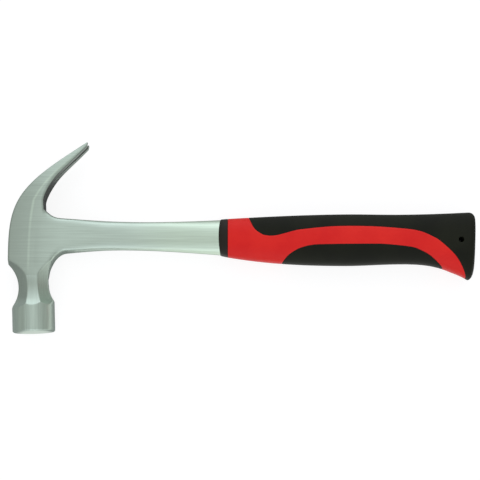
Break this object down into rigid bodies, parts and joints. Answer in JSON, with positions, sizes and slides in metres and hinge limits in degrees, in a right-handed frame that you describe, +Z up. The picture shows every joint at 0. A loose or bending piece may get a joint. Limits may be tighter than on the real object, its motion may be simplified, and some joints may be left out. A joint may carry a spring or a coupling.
{
  "type": "claw hammer",
  "caption": "Curved-claw nail hammer: one-piece forged steel head and shank with a two-colour moulded grip and a hanging hole through the butt.",
  "frame": {"origin": "middle of the part's box, on the surface that the hammer lies on", "axes": "+X along the handle from head to butt, +Y from the striking face to the claw, +Z up through the hammer's side"},
  "size_m": [0.3328, 0.1369, 0.0303],
  "materials": {
    "polished_steel": "ground and polished",
    "hard_red": "satin moulded",
    "soft_black": "matt moulded"
  },
  "bodies": {
    "root": {"steel_forging": "polished_steel", "front_collar": "soft_black", "grip_core": "hard_red", "back_pad": "soft_black", "belly_pad": "soft_black"}
  },
  "joints": []
}
